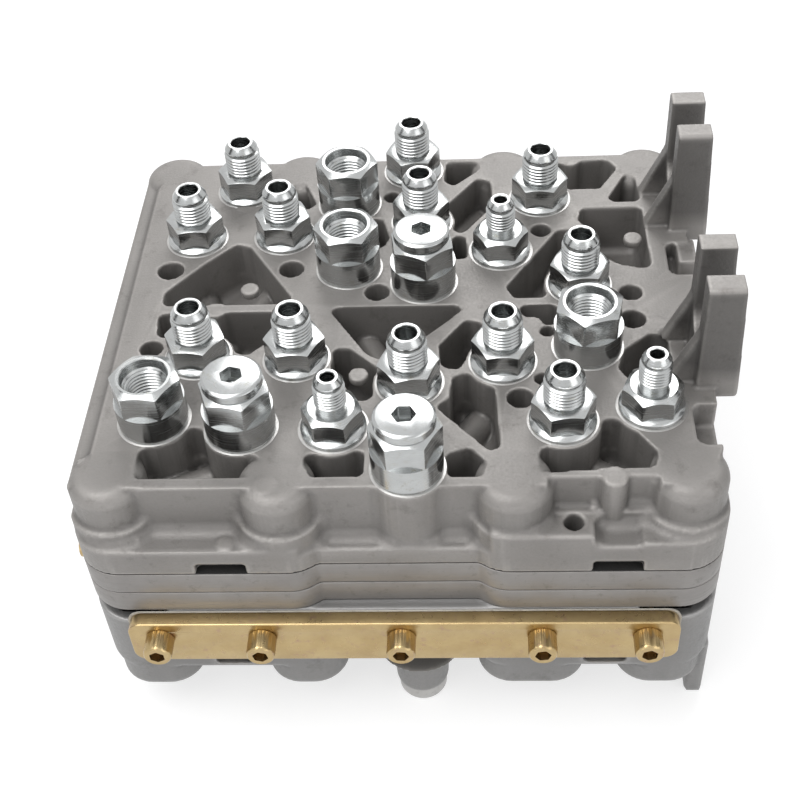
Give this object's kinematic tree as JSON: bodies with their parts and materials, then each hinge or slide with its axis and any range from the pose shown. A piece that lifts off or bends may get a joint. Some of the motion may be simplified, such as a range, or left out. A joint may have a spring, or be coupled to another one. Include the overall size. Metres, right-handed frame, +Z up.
{
  "type": "directional control valve",
  "caption": "Stacked cast aluminium pilot valve block with flare pipe adapters on its top face, sliding spools behind a screwed front cover and slotted side brackets.",
  "frame": {"origin": "middle of the underside of the overall box, on the plane that the legs and underside adapters stand on", "axes": "+X to the right towards the slotted brackets, +Y to the rear away from the front cover, +Z up through the top adapters"},
  "size_m": [0.2278, 0.213, 0.1608],
  "materials": {
    "cast_body": "die-cast aluminium, blasted, warm grey",
    "cast_lower": "die-cast aluminium, smooth, cool grey",
    "gasket": "black fibre and rubber sheet",
    "sealant": "pale sealing sheet",
    "bright_zinc": "bright zinc plated turned steel",
    "yellow_zinc": "yellow passivated zinc plating on steel",
    "bolt_steel": "dark oxide steel",
    "turned_steel": "hardened and ground steel",
    "spring_steel": "oil tempered spring wire",
    "rubber": "black nitrile rubber"
  },
  "bodies": {
    "root": {"upper_body": "cast_body", "mounting_brackets": "cast_body", "support_legs": "cast_lower", "drain_spigot": "cast_lower", "upper_plate": "cast_body", "lower_plate": "cast_body", "lower_body": "cast_lower", "upper_gasket": "gasket", "middle_gasket": "gasket", "lower_gasket": "gasket", "body_bolts": "bolt_steel", "side_plug": "yellow_zinc", "large_flare_adapters": "bright_zinc", "small_flare_adapters": "bright_zinc", "female_adapters": "bright_zinc", "closing_plugs": "bright_zinc", "underside_adapters": "bright_zinc", "spool_plugs": "turned_steel", "plug_rings": "rubber", "front_cover": "yellow_zinc", "cover_gasket": "sealant", "cover_screws": "yellow_zinc", "spool_spring_1": "spring_steel", "spool_spring_2": "spring_steel", "spool_spring_3": "spring_steel", "spool_spring_4": "spring_steel"},
    "spool_1_body": {"spool_1": "turned_steel"},
    "spool_2_body": {"spool_2": "turned_steel"},
    "spool_3_body": {"spool_3": "turned_steel"},
    "spool_4_body": {"spool_4": "turned_steel"},
    "shuttle_1_body": {"shuttle_1": "turned_steel"},
    "shuttle_2_body": {"shuttle_2": "turned_steel"},
    "shuttle_3_body": {"shuttle_3": "turned_steel"},
    "shuttle_4_body": {"shuttle_4": "turned_steel"}
  },
  "joints": [
    {"name": "spool_1_slide", "type": "slide", "parent": "root", "child": "spool_1_body", "axis": [0, 1, 0], "range_m": [0, 0.006], "stiffness_N_per_m": 1500, "springref_m": -0.006, "deforming": ["spool_spring_1"]},
    {"name": "spool_2_slide", "type": "slide", "parent": "root", "child": "spool_2_body", "axis": [0, 1, 0], "range_m": [0, 0.006], "stiffness_N_per_m": 1500, "springref_m": -0.006, "deforming": ["spool_spring_2"]},
    {"name": "spool_3_slide", "type": "slide", "parent": "root", "child": "spool_3_body", "axis": [0, 1, 0], "range_m": [0, 0.006], "stiffness_N_per_m": 1500, "springref_m": -0.006, "deforming": ["spool_spring_3"]},
    {"name": "spool_4_slide", "type": "slide", "parent": "root", "child": "spool_4_body", "axis": [0, 1, 0], "range_m": [0, 0.006], "stiffness_N_per_m": 1500, "springref_m": -0.006, "deforming": ["spool_spring_4"]},
    {"name": "shuttle_1_lift", "type": "slide", "parent": "root", "child": "shuttle_1_body", "axis": [0, 0, 1], "range_m": [0, 0.002]},
    {"name": "shuttle_2_lift", "type": "slide", "parent": "root", "child": "shuttle_2_body", "axis": [0, 0, 1], "range_m": [0, 0.002]},
    {"name": "shuttle_3_lift", "type": "slide", "parent": "root", "child": "shuttle_3_body", "axis": [0, 0, 1], "range_m": [0, 0.002]},
    {"name": "shuttle_4_lift", "type": "slide", "parent": "root", "child": "shuttle_4_body", "axis": [0, 0, 1], "range_m": [0, 0.002]}
  ]
}
